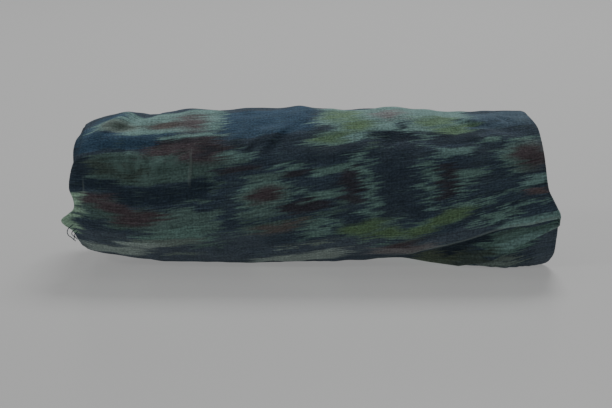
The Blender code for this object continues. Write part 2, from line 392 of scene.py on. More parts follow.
def cloth_point(x, angle, depth):
    """Points in metres at a depth under the outermost surface."""
    y, z = outer_shape(x, angle)
    scale = 1.0 - depth / np.hypot(y, z)
    height = np.maximum(z * scale + AXIS[2], FLOOR_CLEARANCE)
    points = np.stack([x + AXIS[0], y * scale + AXIS[1], height], axis=-1)
    return points * MM


def edge_angle(x, column):
    """Angle of a free edge at x."""
    return smooth_curve(FREE_EDGES, column, x)


def turn_depth(phi):
    """Depth of the outer ply at a wound-in angle."""
    base = CLOTH_THICKNESS / 2
    step = (FIRST_STEP - base) * ease(STEP_START, STEP_END, phi)
    return base + step + TURN_PITCH * np.maximum(phi - WIND_START, 0.0) / 360.0


def yarn_height(x, angle, phi):
    """Where a point lies across the yarns, in mm along the cloth from near its free edge."""
    tilt = smooth_curve(YARN_TILT, "height", x)
    height = np.radians(angle) * MEAN_RADIUS - tilt + CHART_OFFSET
    near_edge = EDGE_PULL * (1.0 - ease(0.0, EDGE_REACH, phi)) * ease(*PULL_ZONE, x)
    offset = edge_angle(x, "outer") - tilt + CHART_OFFSET
    return height - near_edge * offset


def cloth_places(x, angle, phi, from_edge):
    """Places on the cloth: mm along the roll and across the yarns, degrees from the edge."""
    return np.stack(np.broadcast_arrays(x, yarn_height(x, angle, phi), from_edge), axis=-1)


def wander(points, size, seed):
    """Smooth noise, from -1 to 1, at points in mm divided by a size for each axis."""
    flat = points.reshape(-1, 3) / np.array(size)
    values = [noise.noise(Vector(p) + Vector((seed, 0.0, 0.0))) for p in flat]
    return np.array(values).reshape(points.shape[:-1])


def wander_along(phi, angle, across, seed):
    """Smooth noise, from -1 to 1, at wound-in angles divided by one angle."""
    values = [noise.noise(Vector((p / angle, across, seed))) for p in np.ravel(phi)]
    return np.array(values).reshape(np.shape(phi))


def wrinkles(x, angle):
    """Fine unevenness of the cloth that the folds leave out."""
    turn = np.radians(angle)
    ring = np.stack([x, WRINKLE_RADIUS * np.cos(turn), WRINKLE_RADIUS * np.sin(turn)], axis=-1)
    long_ones = wander(ring, LONG_WRINKLES, 3.1)
    short_ones = wander(ring, SHORT_WRINKLES, 9.7)
    return LONG_HEIGHT * long_ones + SHORT_HEIGHT * short_ones


def fold_columns(count):
    """Columns round the fold between the plies: share of the length, ply, and place in it."""
    bends = [math.pi * i / count for i in range(1, count)]
    return [(1.0, 0.5 - 0.5 * math.cos(bend), math.sin(bend)) for bend in bends]


def outer_columns():
    """Columns across the outer turn, fewer on the ply behind, which are closer at its ends."""
    columns = [(i / (FACE_COLUMNS - 1), 0.0, 0.0) for i in range(FACE_COLUMNS)]
    columns += fold_columns(FOLD_COLUMNS)
    for i in range(BACK_COLUMNS):
        even = 1.0 - i / (BACK_COLUMNS - 1)
        columns.append((even + BACK_CROWDING * math.sin(2 * math.pi * even), 1.0, 0.0))
    return np.array(columns)


def inner_columns():
    """Columns across the inner turns, close together at the ends, where they show."""
    ends = [END_ZONE * (i / END_COLUMNS) ** END_CROWDING for i in range(END_COLUMNS + 1)]
    near_end = [e / INNER_LENGTH for e in ends]
    middle = np.linspace(near_end[-1], 1 - near_end[-1], MIDDLE_COLUMNS + 2)[1:-1]
    shares = near_end + list(middle) + [1 - e for e in reversed(near_end)]
    columns = [(share, 0.0, 0.0) for share in shares]
    columns += fold_columns(INNER_FOLD_COLUMNS)
    columns += [(share, 1.0, 0.0) for share in reversed(shares)]
    return np.array(columns)


def outer_rows():
    """Wound-in angle and hem depth of each row of the outer turn, from inside its hem on."""
    hem_angle = math.degrees(HEM_WIDTH / MEAN_RADIUS)
    rows = [(hem_angle, 2 * HEM_ROUND), (hem_angle * 0.5, 2 * HEM_ROUND)]
    for turn in np.radians(HEM_BEND):
        forward = -math.degrees(HEM_ROUND * math.sin(turn) / MEAN_RADIUS)
        rows.append((forward, HEM_ROUND * (1 - math.cos(turn))))
    seen = np.arange(0.0, FRONT_TURN, FRONT_STEP)
    rest = np.arange(FRONT_TURN, OUTER_TURN + 0.01, REST_STEP)
    rows += [(phi, 0.0) for phi in np.concatenate([seen, rest])]
    return np.array(rows)


def sheet_mesh(name, points, places):
    """A sheet from a grid of points, with their places on the cloth, given thickness."""
    rows, columns = points.shape[:2]
    index = np.arange(rows * columns).reshape(rows, columns)
    corners = (index[:-1, :-1], index[:-1, 1:], index[1:, 1:], index[1:, :-1])
    faces = np.stack(corners, axis=-1).reshape(-1, 4)
    mesh = bpy.data.meshes.new(name)
    mesh.from_pydata(points.reshape(-1, 3).tolist(), [], faces.tolist())
    cloth_place = mesh.attributes.new("cloth_place", "FLOAT_VECTOR", "POINT")
    cloth_place.data.foreach_set("vector", places.ravel().astype(np.float32))
    mesh.shade_smooth()
    sheet = bpy.data.objects.new(name, mesh)
    bpy.context.scene.collection.objects.link(sheet)
    solid = sheet.modifiers.new("thickness", "SOLIDIFY")
    solid.thickness = CLOTH_THICKNESS * MM
    solid.offset = 0.0
    solid.use_even_offset = True
    return sheet


def end_lines(angle, phi):
    """Left and right sides of the outer ply at an angle round the roll and a wound-in angle."""
    at = turned(angle)
    under = ease(STEP_START - END_BLEND, STEP_END, phi)
    left = smooth_curve(END_ROWS, "left", at) * (1 - under)
    left += smooth_curve(END_ROWS, "under_left", at) * under
    right = smooth_curve(END_ROWS, "right", at) * (1 - under)
    right += smooth_curve(END_ROWS, "under_right", at) * under
    return left, right


def free_edge_depth(x, wound, phi, ply):
    """Depth that the free edges at the lower right add, negative where they lift."""
    at_right = ease(*LIFT_ZONE, x)
    lift = EDGE_LIFT * bell(wound, EDGE_LIFT_REACH) * at_right
    lift += EDGE_LIFT * bell(wound, CORNER_LIFT_REACH) * ease(*CORNER_ZONE, x)
    behind = BEHIND_DIP * bell(phi - BEHIND_DIP_AT, BEHIND_DIP_REACH)
    behind -= BEHIND_LIFT * bell(wound, BEHIND_LIFT_REACH)
    return behind * at_right * ply - lift * (1 - ply)


def left_end_depth(x, angle, ply, rim, left, left_of_ply):
    """Depth that the point and the rim at the left end add, negative where they lift."""
    beyond = np.clip((POINT_START - x) / POINT_LENGTH, 0.0, 1.0)
    point = POINT_LIFT * beyond * zone(*POINT_ANGLES, angle)
    behind = RIM_DENT * bell(x - left, RIM_DENT_REACH)
    behind -= RIM_CURL * bell(x - left_of_ply, RIM_CURL_REACH)
    return behind * rim * ply - point * (1 - ply)


def make_outer_turn():
    """The outermost turn and a little more: both plies, their fold and their hemmed edges."""
    columns = outer_columns()
    share, ply, bend = (columns[:, i][None, :] for i in range(3))
    rows = outer_rows()
    wound, hem_depth = (rows[:, i][:, None] for i in range(2))
    even_x = EVEN_LEFT + share * EVEN_LENGTH
    edge = edge_angle(even_x, "outer") * (1 - ply) + edge_angle(even_x, "behind") * ply
    angle = edge + wound
    phi = angle - edge_angle(even_x, "outer")
    left, right = end_lines(angle, phi)
    rim = zone(*RIM_ANGLES, turned(angle))
    behind_left = smooth_curve(END_ROWS, "under_left", turned(angle)) - RIM_REACH * rim
    left_of_ply = left * (1 - ply) + behind_left * ply
    x = left_of_ply + (right - left_of_ply) * share + FOLD_ROUND * (bend - share)
    spacing = PLY_SPACING + (2 * FOLD_ROUND - PLY_SPACING) * bell(right - x, FOLD_REACH)
    depth = turn_depth(phi) + spacing * ply
    depth -= 0.5 * (spacing - PLY_SPACING) * (1 - ease(*FOLD_SLACK, phi))
    depth -= wrinkles(x, angle) * (1 - CALMED_SHARE * ease(*CALM_ANGLES, phi))
    depth = np.maximum(depth, DEEPER_SHARE * turn_depth(phi) - MOST_RISE)
    depth += free_edge_depth(x, wound, phi, ply)
    depth += left_end_depth(x, angle, ply, rim, left, left_of_ply)
    depth += hem_depth
    # The ply behind gets the pale edge line, partly painted highlight, at its corner only
    from_edge = wound + BEHIND_EDGE_LINE_SHIFT * ply * (1 - ease(*EDGE_LINE_CORNER, x))
    places = cloth_places(x, angle, phi, from_edge)
    return sheet_mesh("ikat_cloth_outer", cloth_point(x, angle, depth), places)


def telescoped(phi, seed):
    """How far the turns' ends stand out or in, in mm, at a wound-in angle."""
    slow = wander_along(phi, SLOW_ANGLE, seed, 0.0)
    quick = wander_along(phi, QUICK_ANGLE, seed, 5.0)
    return SLOW_SHIFT * slow + QUICK_SHIFT * quick


def make_inner_turns():
    """The turns inside, which show only at the roll's two ends."""
    columns = inner_columns()
    share, ply, bend = (columns[:, i][None, :] for i in range(3))
    depth_wound = MEAN_RADIUS - CORE_RADIUS - FIRST_STEP
    last = OUTER_TURN + 360.0 * depth_wound / TURN_PITCH - INNER_END
    phi = np.arange(OUTER_TURN - INNER_OVERLAP, last, INNER_STEP)[:, None]
    slant = ease(*SLANT_ANGLES, phi)
    edge = edge_angle(EVEN_LEFT + share * EVEN_LENGTH, "outer")
    angle = edge * (1 - slant) + phi + MIDDLE_SLANT * slant
    at = turned(angle)
    evening = ease(*EVENING_ANGLES, phi)
    left = smooth_curve(END_ROWS, "under_left", at) * (1 - evening)
    left = left - INNER_HALF * evening + telescoped(phi, 2.0)
    right = smooth_curve(END_ROWS, "under_right", at) * (1 - evening)
    right = right + INNER_HALF * evening + telescoped(phi, 7.0)
    back_shift = BACK_PLY_SHIFT * telescoped(phi * BACK_PLY_WAVES, 4.0) / SLOW_SHIFT
    left = left + ply * (BACK_PLY_IN + back_shift)
    x = left + (right - left) * share + INNER_FOLD_ROUND * (bend - share)
    spacing = PLY_SPACING + INNER_FOLD_GAP * bell(right - x, INNER_FOLD_REACH)
    depth = turn_depth(phi) + spacing * ply + SWAY * wander_along(phi, SWAY_ANGLE, 1.0, 0.0)
    places = cloth_places(x, angle, phi, phi)
    return sheet_mesh("ikat_cloth_inner", cloth_point(x, angle, depth), places)


def make_threads():
    """Loose ends of yarn at the lower left corner."""
    curve = bpy.data.curves.new("loose_threads", "CURVE")
    curve.dimensions = "3D"
    curve.bevel_depth = THREAD_RADIUS * MM
    curve.bevel_resolution = 1
    curve.resolution_u = 6
    curve.use_fill_caps = True
    for thread in THREADS:
        spline = curve.splines.new("BEZIER")
        spline.bezier_points.add(len(thread) - 1)
        for point, (x, y, z) in zip(spline.bezier_points, thread):
            point.co = ((x + AXIS[0]) * MM, (y + AXIS[1]) * MM, z * MM)
            point.handle_left_type = point.handle_right_type = "AUTO"
    threads = bpy.data.objects.new("loose_threads", curve)
    bpy.context.scene.collection.objects.link(threads)
    curve.materials.append(plain_material("thread_indigo", COLOURS["dark"], 0.9, 0.1))
    return threads


# Dyed shapes, and a few that are painted shade or painted light, as they lie on the shown
# face: middle along the roll in mm and round it in degrees, half sizes in mm, climb for each
# mm along the roll beyond the yarns' own tilt, form, how much the yarns' streaks break it,
# from 0 to 1, and colour
Shape = namedtuple("Shape", "x angle half_x half_y climb form broken colour")
BAR = "bar"
SPOT = "spot"
COLOURS = {
    "indigo": (0.054, 0.080, 0.110),
    "blue": (0.046, 0.089, 0.142),
    "slate": (0.078, 0.103, 0.132),
    "dark": (0.042, 0.060, 0.083),
    "deep": (0.026, 0.040, 0.058),
    "teal": (0.137, 0.232, 0.208),
    "soft_teal": (0.112, 0.178, 0.164),
    "dim_teal": (0.085, 0.138, 0.126),
    "pale_teal": (0.172, 0.284, 0.268),
    "pale_grey": (0.275, 0.338, 0.315),
    "grey": (0.165, 0.215, 0.195),
    "olive": (0.060, 0.084, 0.074),
    "moss": (0.098, 0.130, 0.094),
    "maroon": (0.082, 0.066, 0.074),
    "rust": (0.120, 0.094, 0.097),
    "dark_maroon": (0.047, 0.047, 0.059),
    "brown": (0.113, 0.103, 0.099),
    "green": (0.118, 0.198, 0.108),
    "soft_green": (0.140, 0.235, 0.145),
    "bright_green": (0.310, 0.465, 0.345),
    "rose": (0.205, 0.200, 0.205),
    "dusty": (0.112, 0.098, 0.104),
    "sky": (0.072, 0.114, 0.155),
    "cream": (0.305, 0.375, 0.350),
}
SHAPES = [
    # Painted light: paler slate bars along the bottom, standing for the glowing floor's light on the
    # underside
    Shape(-95, -43, 62, 17, 0.0, BAR, 0.2, "slate"),
    Shape(10, -44, 52, 14, 0.0, BAR, 0.2, "slate"),
    Shape(-146, -33, 22, 8, 0.0, BAR, 0.2, "slate"),
    Shape(62, 22, 15, 36, 0.0, BAR, 0.05, "dark"),
    Shape(15, 35, 22, 6, 0.0, BAR, 0.1, "dark"),
    Shape(-40, 45, 24, 8, 0.0, BAR, 0.3, "dark"),
    Shape(60, 53, 15, 9, 0.0, BAR, 0.1, "deep"),
    Shape(103, 51, 22, 8, 0.0, BAR, 0.15, "deep"),
    Shape(-30, 70, 34, 20, 0.0, BAR, 0.1, "blue"),
    Shape(133, 76, 28, 15, 0.0, BAR, 0.1, "sky"),
    Shape(-160, 56, 10, 17, 0.0, BAR, 0.0, "blue"),
    Shape(-135, 77, 19, 6, 0.0, BAR, 0.1, "blue"),
    Shape(-135, 47, 32, 8, 0.0, BAR, 0.1, "blue"),
    Shape(98, -29, 30, 6, 0.2, BAR, 0.15, "slate"),
    Shape(20, 47, 25, 5, 0.05, SPOT, 0.15, "pale_teal"),
    Shape(32, 62, 31, 10, 0.0, BAR, 0.1, "pale_teal"),
    Shape(60, 84, 54, 18, 0.0, BAR, 0.1, "pale_teal"),
    Shape(92, 64, 25, 6, 0.0, BAR, 0.15, "pale_teal"),
    Shape(8, 57, 10, 5, 0.0, SPOT, 0.1, "dark"),
    Shape(32, 61, 15, 8, 0.0, SPOT, 0.2, "green"),
    Shape(23, 76, 17, 13, 0.0, SPOT, 0.3, "soft_green"),
    Shape(14, 48, 13, 6, 0.0, SPOT, 0.12, "soft_green"),
    Shape(88, 70, 18, 8, 0.0, SPOT, 0.3, "soft_green"),
    Shape(104, 61, 15, 6, 0.0, SPOT, 0.12, "soft_green"),
    Shape(57, 77, 14, 10, 0.0, SPOT, 0.3, "rose"),
    Shape(46, 50, 5, 5, 0.0, BAR, 0.3, "dim_teal"),
    Shape(44, 41, 7, 5, 0.0, BAR, 0.35, "dim_teal"),
    Shape(38, 32, 9, 5, 0.0, BAR, 0.4, "teal"),
    Shape(39, 22, 9, 5, 0.0, BAR, 0.3, "teal"),
    Shape(41, 12, 7, 6, 0.0, BAR, 0.25, "teal"),
    Shape(42, 3, 6.5, 6, 0.0, BAR, 0.2, "teal"),
    Shape(42, -6, 7, 5, 0.0, BAR, 0.2, "teal"),
    Shape(77, 57, 6, 4, 0.0, BAR, 0.3, "teal"),
    Shape(77, 49, 7, 4, 0.0, BAR, 0.35, "teal"),
    Shape(80, 42, 6, 2, 0.0, BAR, 0.4, "teal"),
    Shape(88, 31, 7, 3, 0.0, BAR, 0.4, "teal"),
    Shape(84, 26, 8, 5, 0.0, BAR, 0.35, "teal"),
    Shape(84, 17, 8, 6, 0.0, BAR, 0.25, "teal"),
    Shape(84, 8, 7.5, 6, 0.0, BAR, 0.3, "teal"),
    Shape(84, -1, 7, 5, 0.0, BAR, 0.45, "teal"),
    Shape(97, 15, 7, 13, 0.0, BAR, 0.1, "dark_maroon"),
    Shape(28, 12, 8, 13, 0.0, BAR, 0.1, "dark_maroon"),
    Shape(-3, -2, 18, 6, 0.0, SPOT, 0.12, "dark_maroon"),
    Shape(-12, 20, 16, 3, 0.0, SPOT, 0.2, "dark_maroon"),
    Shape(103, 36.5, 15, 3.4, -0.06, BAR, 0.08, "pale_teal"),
    Shape(114, 21, 13, 3.4, 0.0, BAR, 0.1, "teal"),
    Shape(109, 13, 8, 4, 0.0, BAR, 0.25, "teal"),
    Shape(107, 6, 8, 4, 0.0, BAR, 0.45, "teal"),
    Shape(17, 23, 14, 2.9, 0.0, BAR, 0.1, "teal"),
    Shape(9, 5, 11, 3.4, 0.0, BAR, 0.1, "teal"),
    Shape(19, -4, 5, 5, 0.0, BAR, 0.2, "dim_teal"),
    Shape(10, -8, 12, 1.6, 0.0, BAR, 0.2, "dim_teal"),
    Shape(-8, 25, 9, 2.4, 0.0, BAR, 0.15, "teal"),
    Shape(-20, 26, 9, 1.4, 0.0, BAR, 0.15, "teal"),
    Shape(132, 48, 9, 2.6, 0.0, BAR, 0.15, "teal"),
    Shape(154, 50, 14, 2.6, 0.0, BAR, 0.3, "teal"),
    Shape(153, 35, 18, 13, 0.0, SPOT, 0.12, "teal"),
    Shape(140, 34, 8, 7, 0.0, BAR, 0.4, "teal"),
    Shape(153, 45, 13, 3, 0.0, BAR, 0.2, "pale_teal"),
    Shape(152, 23, 12, 2.6, 0.0, BAR, 0.25, "teal"),
    Shape(159, 16, 13, 5, 0.0, BAR, 0.25, "pale_teal"),
    Shape(142, 7, 10, 2.2, 0.0, BAR, 0.3, "teal"),
    Shape(158, 35, 15, 13, 0.0, SPOT, 0.08, "maroon"),
    Shape(159, 8, 10, 3, 0.0, BAR, 0.2, "rust"),
    Shape(150, -1, 22, 2.6, 0.0, BAR, 0.6, "teal"),
    Shape(114, -2, 20, 4.5, 0.0, BAR, 0.55, "teal"),
    Shape(134, -9, 20, 6, 0.0, BAR, 0.6, "teal"),
    Shape(160, -11.5, 28, 3.6, 0.0, BAR, 0.12, "pale_teal"),
    Shape(150, -29, 30, 9, 0.1, BAR, 0.12, "teal"),
    # Painted shadow: a dim teal strip on the ply behind, just under the outer ply's lifted edge,
    # which shades it
    Shape(146, -23, 20, 2.6, 0.3, BAR, 0.1, "dim_teal"),
    # Painted highlight: a pale teal band along the ply behind's own lifted edge, where it catches the
    # light
    Shape(154, -30, 18, 3.5, 0.3, BAR, 0.15, "pale_teal"),
    Shape(168, 318, 11, 24, 0.0, BAR, 0.1, "slate"),
    Shape(136, 314, 20, 12, 0.0, BAR, 0.4, "grey"),
    Shape(148, 322, 12, 6, 0.2, BAR, 0.25, "teal"),
    Shape(92, -58, 20, 10, 0.3, BAR, 0.15, "moss"),
    Shape(102, -49, 12, 4, 0.3, SPOT, 0.2, "brown"),
    Shape(118, -52, 16, 7, 0.2, BAR, 0.25, "olive"),
    # Painted shadow: a deep indigo strip on the turn under the outer ply's lifted free edge, where
    # shade falls
    Shape(112, -41.5, 19, 5, 0.35, BAR, 0.05, "deep"),
    Shape(42, -21, 24, 7, 0.0, BAR, 0.35, "soft_teal"),
    Shape(62, -26, 24, 5, 0.0, BAR, 0.35, "soft_teal"),
    Shape(90, -15, 22, 5, 0.1, BAR, 0.35, "teal"),
    Shape(37, -20, 17, 7, 0.0, SPOT, 0.15, "green"),
    Shape(54, -25, 18, 5, 0.0, SPOT, 0.25, "green"),
    Shape(78, -22, 15, 5, 0.1, SPOT, 0.2, "green"),
    Shape(98, -11, 18, 6, 0.1, SPOT, 0.15, "green"),
    Shape(66, -47, 24, 6, 0.0, BAR, 0.2, "rose"),
    Shape(60, -36, 16, 3, 0.0, BAR, 0.5, "teal"),
    Shape(68, -39, 13, 5, 0.0, SPOT, 0.15, "maroon"),
    Shape(5, -20, 17, 10, 0.0, BAR, 0.5, "teal"),
    Shape(-5, -12, 18, 3, 0.0, BAR, 0.4, "dim_teal"),
    Shape(-2, -36, 20, 3, 0.0, BAR, 0.55, "grey"),
    Shape(2, -49, 28, 6, 0.0, BAR, 0.4, "pale_grey"),
    Shape(-8, -54, 34, 9, 0.05, BAR, 0.2, "pale_grey"),
    Shape(-32, 5, 22, 12, 0.0, SPOT, 0.2, "teal"),
    Shape(-32, 17, 15, 3, 0.0, BAR, 0.12, "soft_teal"),
    Shape(-6, 7, 8, 3, 0.0, BAR, 0.3, "teal"),
    Shape(-35, -7, 17, 4, 0.0, BAR, 0.2, "soft_teal"),
    Shape(-37, -12, 14, 2, 0.0, BAR, 0.35, "dim_teal"),
    Shape(-26, -17, 22, 5, 0.0, BAR, 0.35, "dim_teal"),
    Shape(-42, -23, 16, 4, 0.0, BAR, 0.4, "soft_teal"),
    Shape(-31, 5, 14, 6.5, 0.0, SPOT, 0.08, "maroon"),
    Shape(-27, -21, 17, 5, 0.0, SPOT, 0.15, "brown"),
    Shape(-10, -14, 13, 3, 0.0, SPOT, 0.3, "brown"),
    Shape(-140, 65, 18, 8, 0.0, BAR, 0.12, "pale_teal"),
    Shape(-98, 71, 38, 18, 0.0, BAR, 0.15, "pale_teal"),
    Shape(-86, 50, 26, 4, 0.0, BAR, 0.3, "pale_teal"),
    Shape(-112, 51, 18, 2.4, 0.0, BAR, 0.3, "blue"),
    Shape(-138, 64, 17, 8, 0.0, SPOT, 0.1, "grey"),
    Shape(-136, 64, 11, 4.5, 0.0, SPOT, 0.1, "olive"),
    Shape(-103, 64, 17, 6, 0.0, SPOT, 0.15, "brown"),
    Shape(-84, 70, 9, 12, 0.0, BAR, 0.1, "dusty"),
    Shape(-84, 68, 12, 15, 0.0, SPOT, 0.12, "dusty"),
    Shape(-112, 24, 50, 12, 0.0, BAR, 0.12, "dim_teal"),
    Shape(-58, 31, 15, 7, 0.0, BAR, 0.3, "soft_teal"),
    Shape(-72, 11, 14, 6, 0.0, BAR, 0.4, "dim_teal"),
    Shape(-82, 3, 14, 5, 0.0, BAR, 0.4, "dim_teal"),
    Shape(-92, 42, 26, 7, 0.0, BAR, 0.35, "dark_maroon"),
    Shape(-103, 38, 20, 6, 0.0, BAR, 0.3, "maroon"),
    Shape(-77, 36, 20, 11, 0.0, SPOT, 0.15, "maroon"),
    Shape(-74, 36, 9, 6, 0.0, SPOT, 0.1, "dark_maroon"),
    Shape(-150, 26, 11, 6, 0.0, BAR, 0.1, "olive"),
    Shape(-127, 21, 10, 7, 0.0, BAR, 0.25, "olive"),
    Shape(-130, 35, 12, 2.2, 0.0, BAR, 0.3, "soft_teal"),
    Shape(-50, 33, 9, 4, 0.0, BAR, 0.2, "pale_teal"),
    Shape(-164, 22, 7, 13, 0.0, BAR, 0.05, "deep"),
    Shape(-150, 12.5, 18, 4.5, 0.0, BAR, 0.08, "deep"),
    Shape(-106, 5, 40, 7, 0.0, BAR, 0.12, "deep"),
    Shape(-48, 23, 17, 3, 0.0, BAR, 0.2, "dark_maroon"),
    Shape(-148, -7, 16, 9, 0.0, BAR, 0.2, "dim_teal"),
    Shape(-90, -17, 30, 10, 0.0, BAR, 0.25, "soft_teal"),
    Shape(-98, -8, 20, 4, 0.0, BAR, 0.4, "soft_teal"),
    Shape(-96, -30, 30, 6, 0.0, BAR, 0.3, "teal"),
    Shape(-130, -14, 18, 9, 0.0, BAR, 0.3, "dim_teal"),
    Shape(-150, 1.5, 13, 4, 0.0, BAR, 0.1, "maroon"),
    Shape(-137, -5, 17, 5.5, -0.2, SPOT, 0.12, "maroon"),
    Shape(-122, -13, 20, 6.5, 0.0, SPOT, 0.1, "maroon"),
    Shape(-150, -18, 9, 6, 0.0, SPOT, 0.08, "dark"),
    Shape(-92, -22, 18, 3.5, 0.0, SPOT, 0.25, "teal"),
    Shape(-106, -35, 30, 5, 0.0, BAR, 0.25, "grey"),
    Shape(-120, -38, 18, 4, 0.0, SPOT, 0.15, "cream"),
    Shape(-140, -49, 26, 8, 0.0, BAR, 0.35, "cream"),
    Shape(-88, -48, 16, 3, 0.0, BAR, 0.4, "grey"),
    Shape(-72, -37, 14, 4, 0.0, BAR, 0.45, "soft_teal"),
    Shape(-168, -2, 7, 8, 0.0, BAR, 0.05, "bright_green"),
    Shape(-175, -20, 9, 13, 0.0, BAR, 0.05, "bright_green"),
]

# The pattern repeats across the yarns after this many mm, and the first repeat starts here
REPEAT = 198.0
REPEAT_START = -30.0

# How soft a shape's ends are along the yarns, for hard-edged and for blended dyes, how much
# harder its sides are, and how far the streaks move its ends
FEATHER = 4.2
SOFT_FEATHER = 7.5
SOFT_COLOURS = (
    "maroon", "dusty", "brown", "rose", "moss", "green", "soft_green", "slate", "olive",
    "cream", "pale_grey",
)
ACROSS = 4.0
STREAK_REACH = 42.0

# Widths of one weft yarn, a bundle of them that was tied off together, and a warp yarn
YARN = 0.9
BUNDLE = 2.3
WARP = 0.8

# How far along itself the dye is shifted on each yarn and bundle, and on near and broad groups
YARN_SHIFT = 5.0
BUNDLE_SHIFT = 6.0
NEAR_SHIFT = 22.0
BROAD_SHIFT = 14.0
DRIFT_ACROSS = 5.0
BUNDLE_SEED = 311.7

# Noise on the cloth: waves for each mm along the yarns and across them, where in the noise it is
# taken, so that no two are alike, and its detail
Wave = namedtuple("Wave", "along across place detail")
NEAR = Wave(0.02, 0.55, 0.0, 2.0)
BROAD = Wave(0.018, 0.13, 5.0, 2.0)
DRIFT = Wave(0.045, 0.045, 7.0, 2.0)
STREAK = Wave(0.075, 0.80, 11.0, 2.0)
GROUND = Wave(0.02, 0.3, 3.0, 2.0)
FINE = Wave(0.10, 1.0, 1.0, 3.0)
GRAIN = Wave(0.62, 0.72, 4.0, 2.0)
HAZE = Wave(0.03, 0.05, 21.0, 3.0)
# Painted highlights on the puckers
PUCKER_HIGHLIGHT = Wave(0.17, 0.10, 8.0, 2.0)
FLECK = Wave(0.07, 1.5, 17.0, 1.0)
SLUB = Wave(0.12, 1.3, 2.0, 2.0)

# What a noise does: the value that it goes from and to as the noise goes from start to end
Ramp = namedtuple("Ramp", "start end low high")
STREAK_BREAK = Ramp(0.30, 0.70, -0.9, 0.25)
GROUND_BLEND = Ramp(0.35, 0.65, 0.0, 1.0)
FINE_TONE = Ramp(0.25, 0.75, 0.66, 1.34)
GRAIN_TONE = Ramp(0.28, 0.72, 0.64, 1.36)
HAZE_SHARE = Ramp(0.45, 0.8, 0.0, 0.06)
PUCKER_HIGHLIGHT_SHARE = Ramp(0.45, 0.70, 0.0, 0.42)
FLECK_SHARE = Ramp(0.58, 0.74, 0.0, 0.42)
YARN_TONE = 0.26
WARP_TONE = 0.14

# The puckered stretch at the upper left, where teal is painted in as highlights on the
# puckers: its middle and half sizes on the cloth, and the shares of them between which it
# fades in
PUCKER_HIGHLIGHT_MIDDLE = (-114.0, 95.0)
PUCKER_HIGHLIGHT_HALF = (34.0, 17.0)
PUCKER_HIGHLIGHT_FADE = (1.0, 0.5)

# Pale worn lines along the warp, at a crease and at the selvedge's turned edge: how far they
# wander, and the shares of their half width and reach that are fully worn
WornLine = namedtuple("WornLine", "x height reach half_width strength")
WORN_LINES = [
    WornLine(-84.3, 88, 15, 1.3, 0.26),
    WornLine(-161.3, 72, 17, 1.1, 0.16),
]
LINE_WOBBLE = 9.0
LINE_CORE = 0.3
REACH_CORE = 0.4

# Wear and painted highlight at the free edge, by degrees from it
EDGE_WEAR_AND_HIGHLIGHT = Ramp(1.9, 0.5, 0.0, 0.36)

# Heights of the weave, the yarns' slubs and the grain in the bump
WEAVE_HEIGHT = 0.2
SLUB_HEIGHT = 1.6
GRAIN_HEIGHT = 1.6
BUMP_DISTANCE = 0.6


class Nodes:
    """Short calls for building a material's nodes."""

    def __init__(self, tree):
        self.tree = tree

    def add(self, kind, **settings):
        node = self.tree.nodes.new(kind)
        for key, value in settings.items():
            setattr(node, key, value)
        return node

    def feed(self, socket, value):
        if isinstance(value, bpy.types.NodeSocket):
            self.tree.links.new(value, socket)
        elif value is not None:
            socket.default_value = value

    def math(self, operation, a, b=None, c=None):
        node = self.add("ShaderNodeMath", operation=operation)
        for i, value in enumerate((a, b, c)):
            self.feed(node.inputs[i], value)
        return node.outputs[0]

    def vector_math(self, operation, a, b=None, c=None):
        node = self.add("ShaderNodeVectorMath", operation=operation)
        for i, value in enumerate((a, b, c)):
            self.feed(node.inputs[i], value)
        return node.outputs

    def vector(self, operation, a, b=None, c=None):
        return self.vector_math(operation, a, b, c)["Vector"]

    def dot(self, vector, factors):
        return self.vector_math("DOT_PRODUCT", vector, factors)["Value"]

    def length(self, vector):
        return self.vector_math("LENGTH", vector)["Value"]

    def split(self, vector):
        node = self.add("ShaderNodeSeparateXYZ")
        self.feed(node.inputs[0], vector)
        return node.outputs[0], node.outputs[1], node.outputs[2]

    def join(self, x, y, z):
        node = self.add("ShaderNodeCombineXYZ")
        for i, value in enumerate((x, y, z)):
            self.feed(node.inputs[i], value)
        return node.outputs[0]

    def range(self, value, start, end, low=0.0, high=1.0, smooth=True):
        kind = "SMOOTHSTEP" if smooth else "LINEAR"
        node = self.add("ShaderNodeMapRange", interpolation_type=kind, clamp=False)
        for name, given in zip(
            ("Value", "From Min", "From Max", "To Min", "To Max"),
            (value, start, end, low, high),
        ):
            self.feed(node.inputs[name], given)
        return node.outputs[0]

    def mix(self, factor, a, b, blend="MIX"):
        node = self.add("ShaderNodeMix", data_type="RGBA", blend_type=blend)
        self.feed(node.inputs["Factor"], factor)
        self.feed(node.inputs[6], a)
        self.feed(node.inputs[7], b)
        return node.outputs[2]

    def noise(self, vector, detail):
        node = self.add("ShaderNodeTexNoise")
        self.feed(node.inputs["Vector"], vector)
        node.inputs["Scale"].default_value = 1.0
        node.inputs["Detail"].default_value = detail
        return node.outputs[0]

    def random(self, value):
        node = self.add("ShaderNodeTexWhiteNoise", noise_dimensions="1D")
        self.feed(node.inputs["W"], value)
        return node.outputs["Value"]

    def moved(self, value, reach, base):
        """A base moved by a value from 0 to 1, up to half a reach either way."""
        return self.math("MULTIPLY_ADD", value, reach, self.math("ADD", base, -reach / 2))


class ClothNodes(Nodes):
    """Nodes that work from a place on the cloth: u along the roll and v across the yarns."""

    def __init__(self, tree):
        super().__init__(tree)
        place = self.add("ShaderNodeAttribute", attribute_name="cloth_place")
        self.u, self.v, self.from_edge = self.split(place.outputs["Vector"])

    def at(self, wave):
        along = self.math("MULTIPLY", self.u, wave.along)
        across = self.math("MULTIPLY", self.v, wave.across)
        return self.join(along, across, wave.place)

    def wave(self, wave):
        return self.noise(self.at(wave), wave.detail)


def rgba(colour):
    """A colour with full opacity."""
    return (*colour, 1.0)


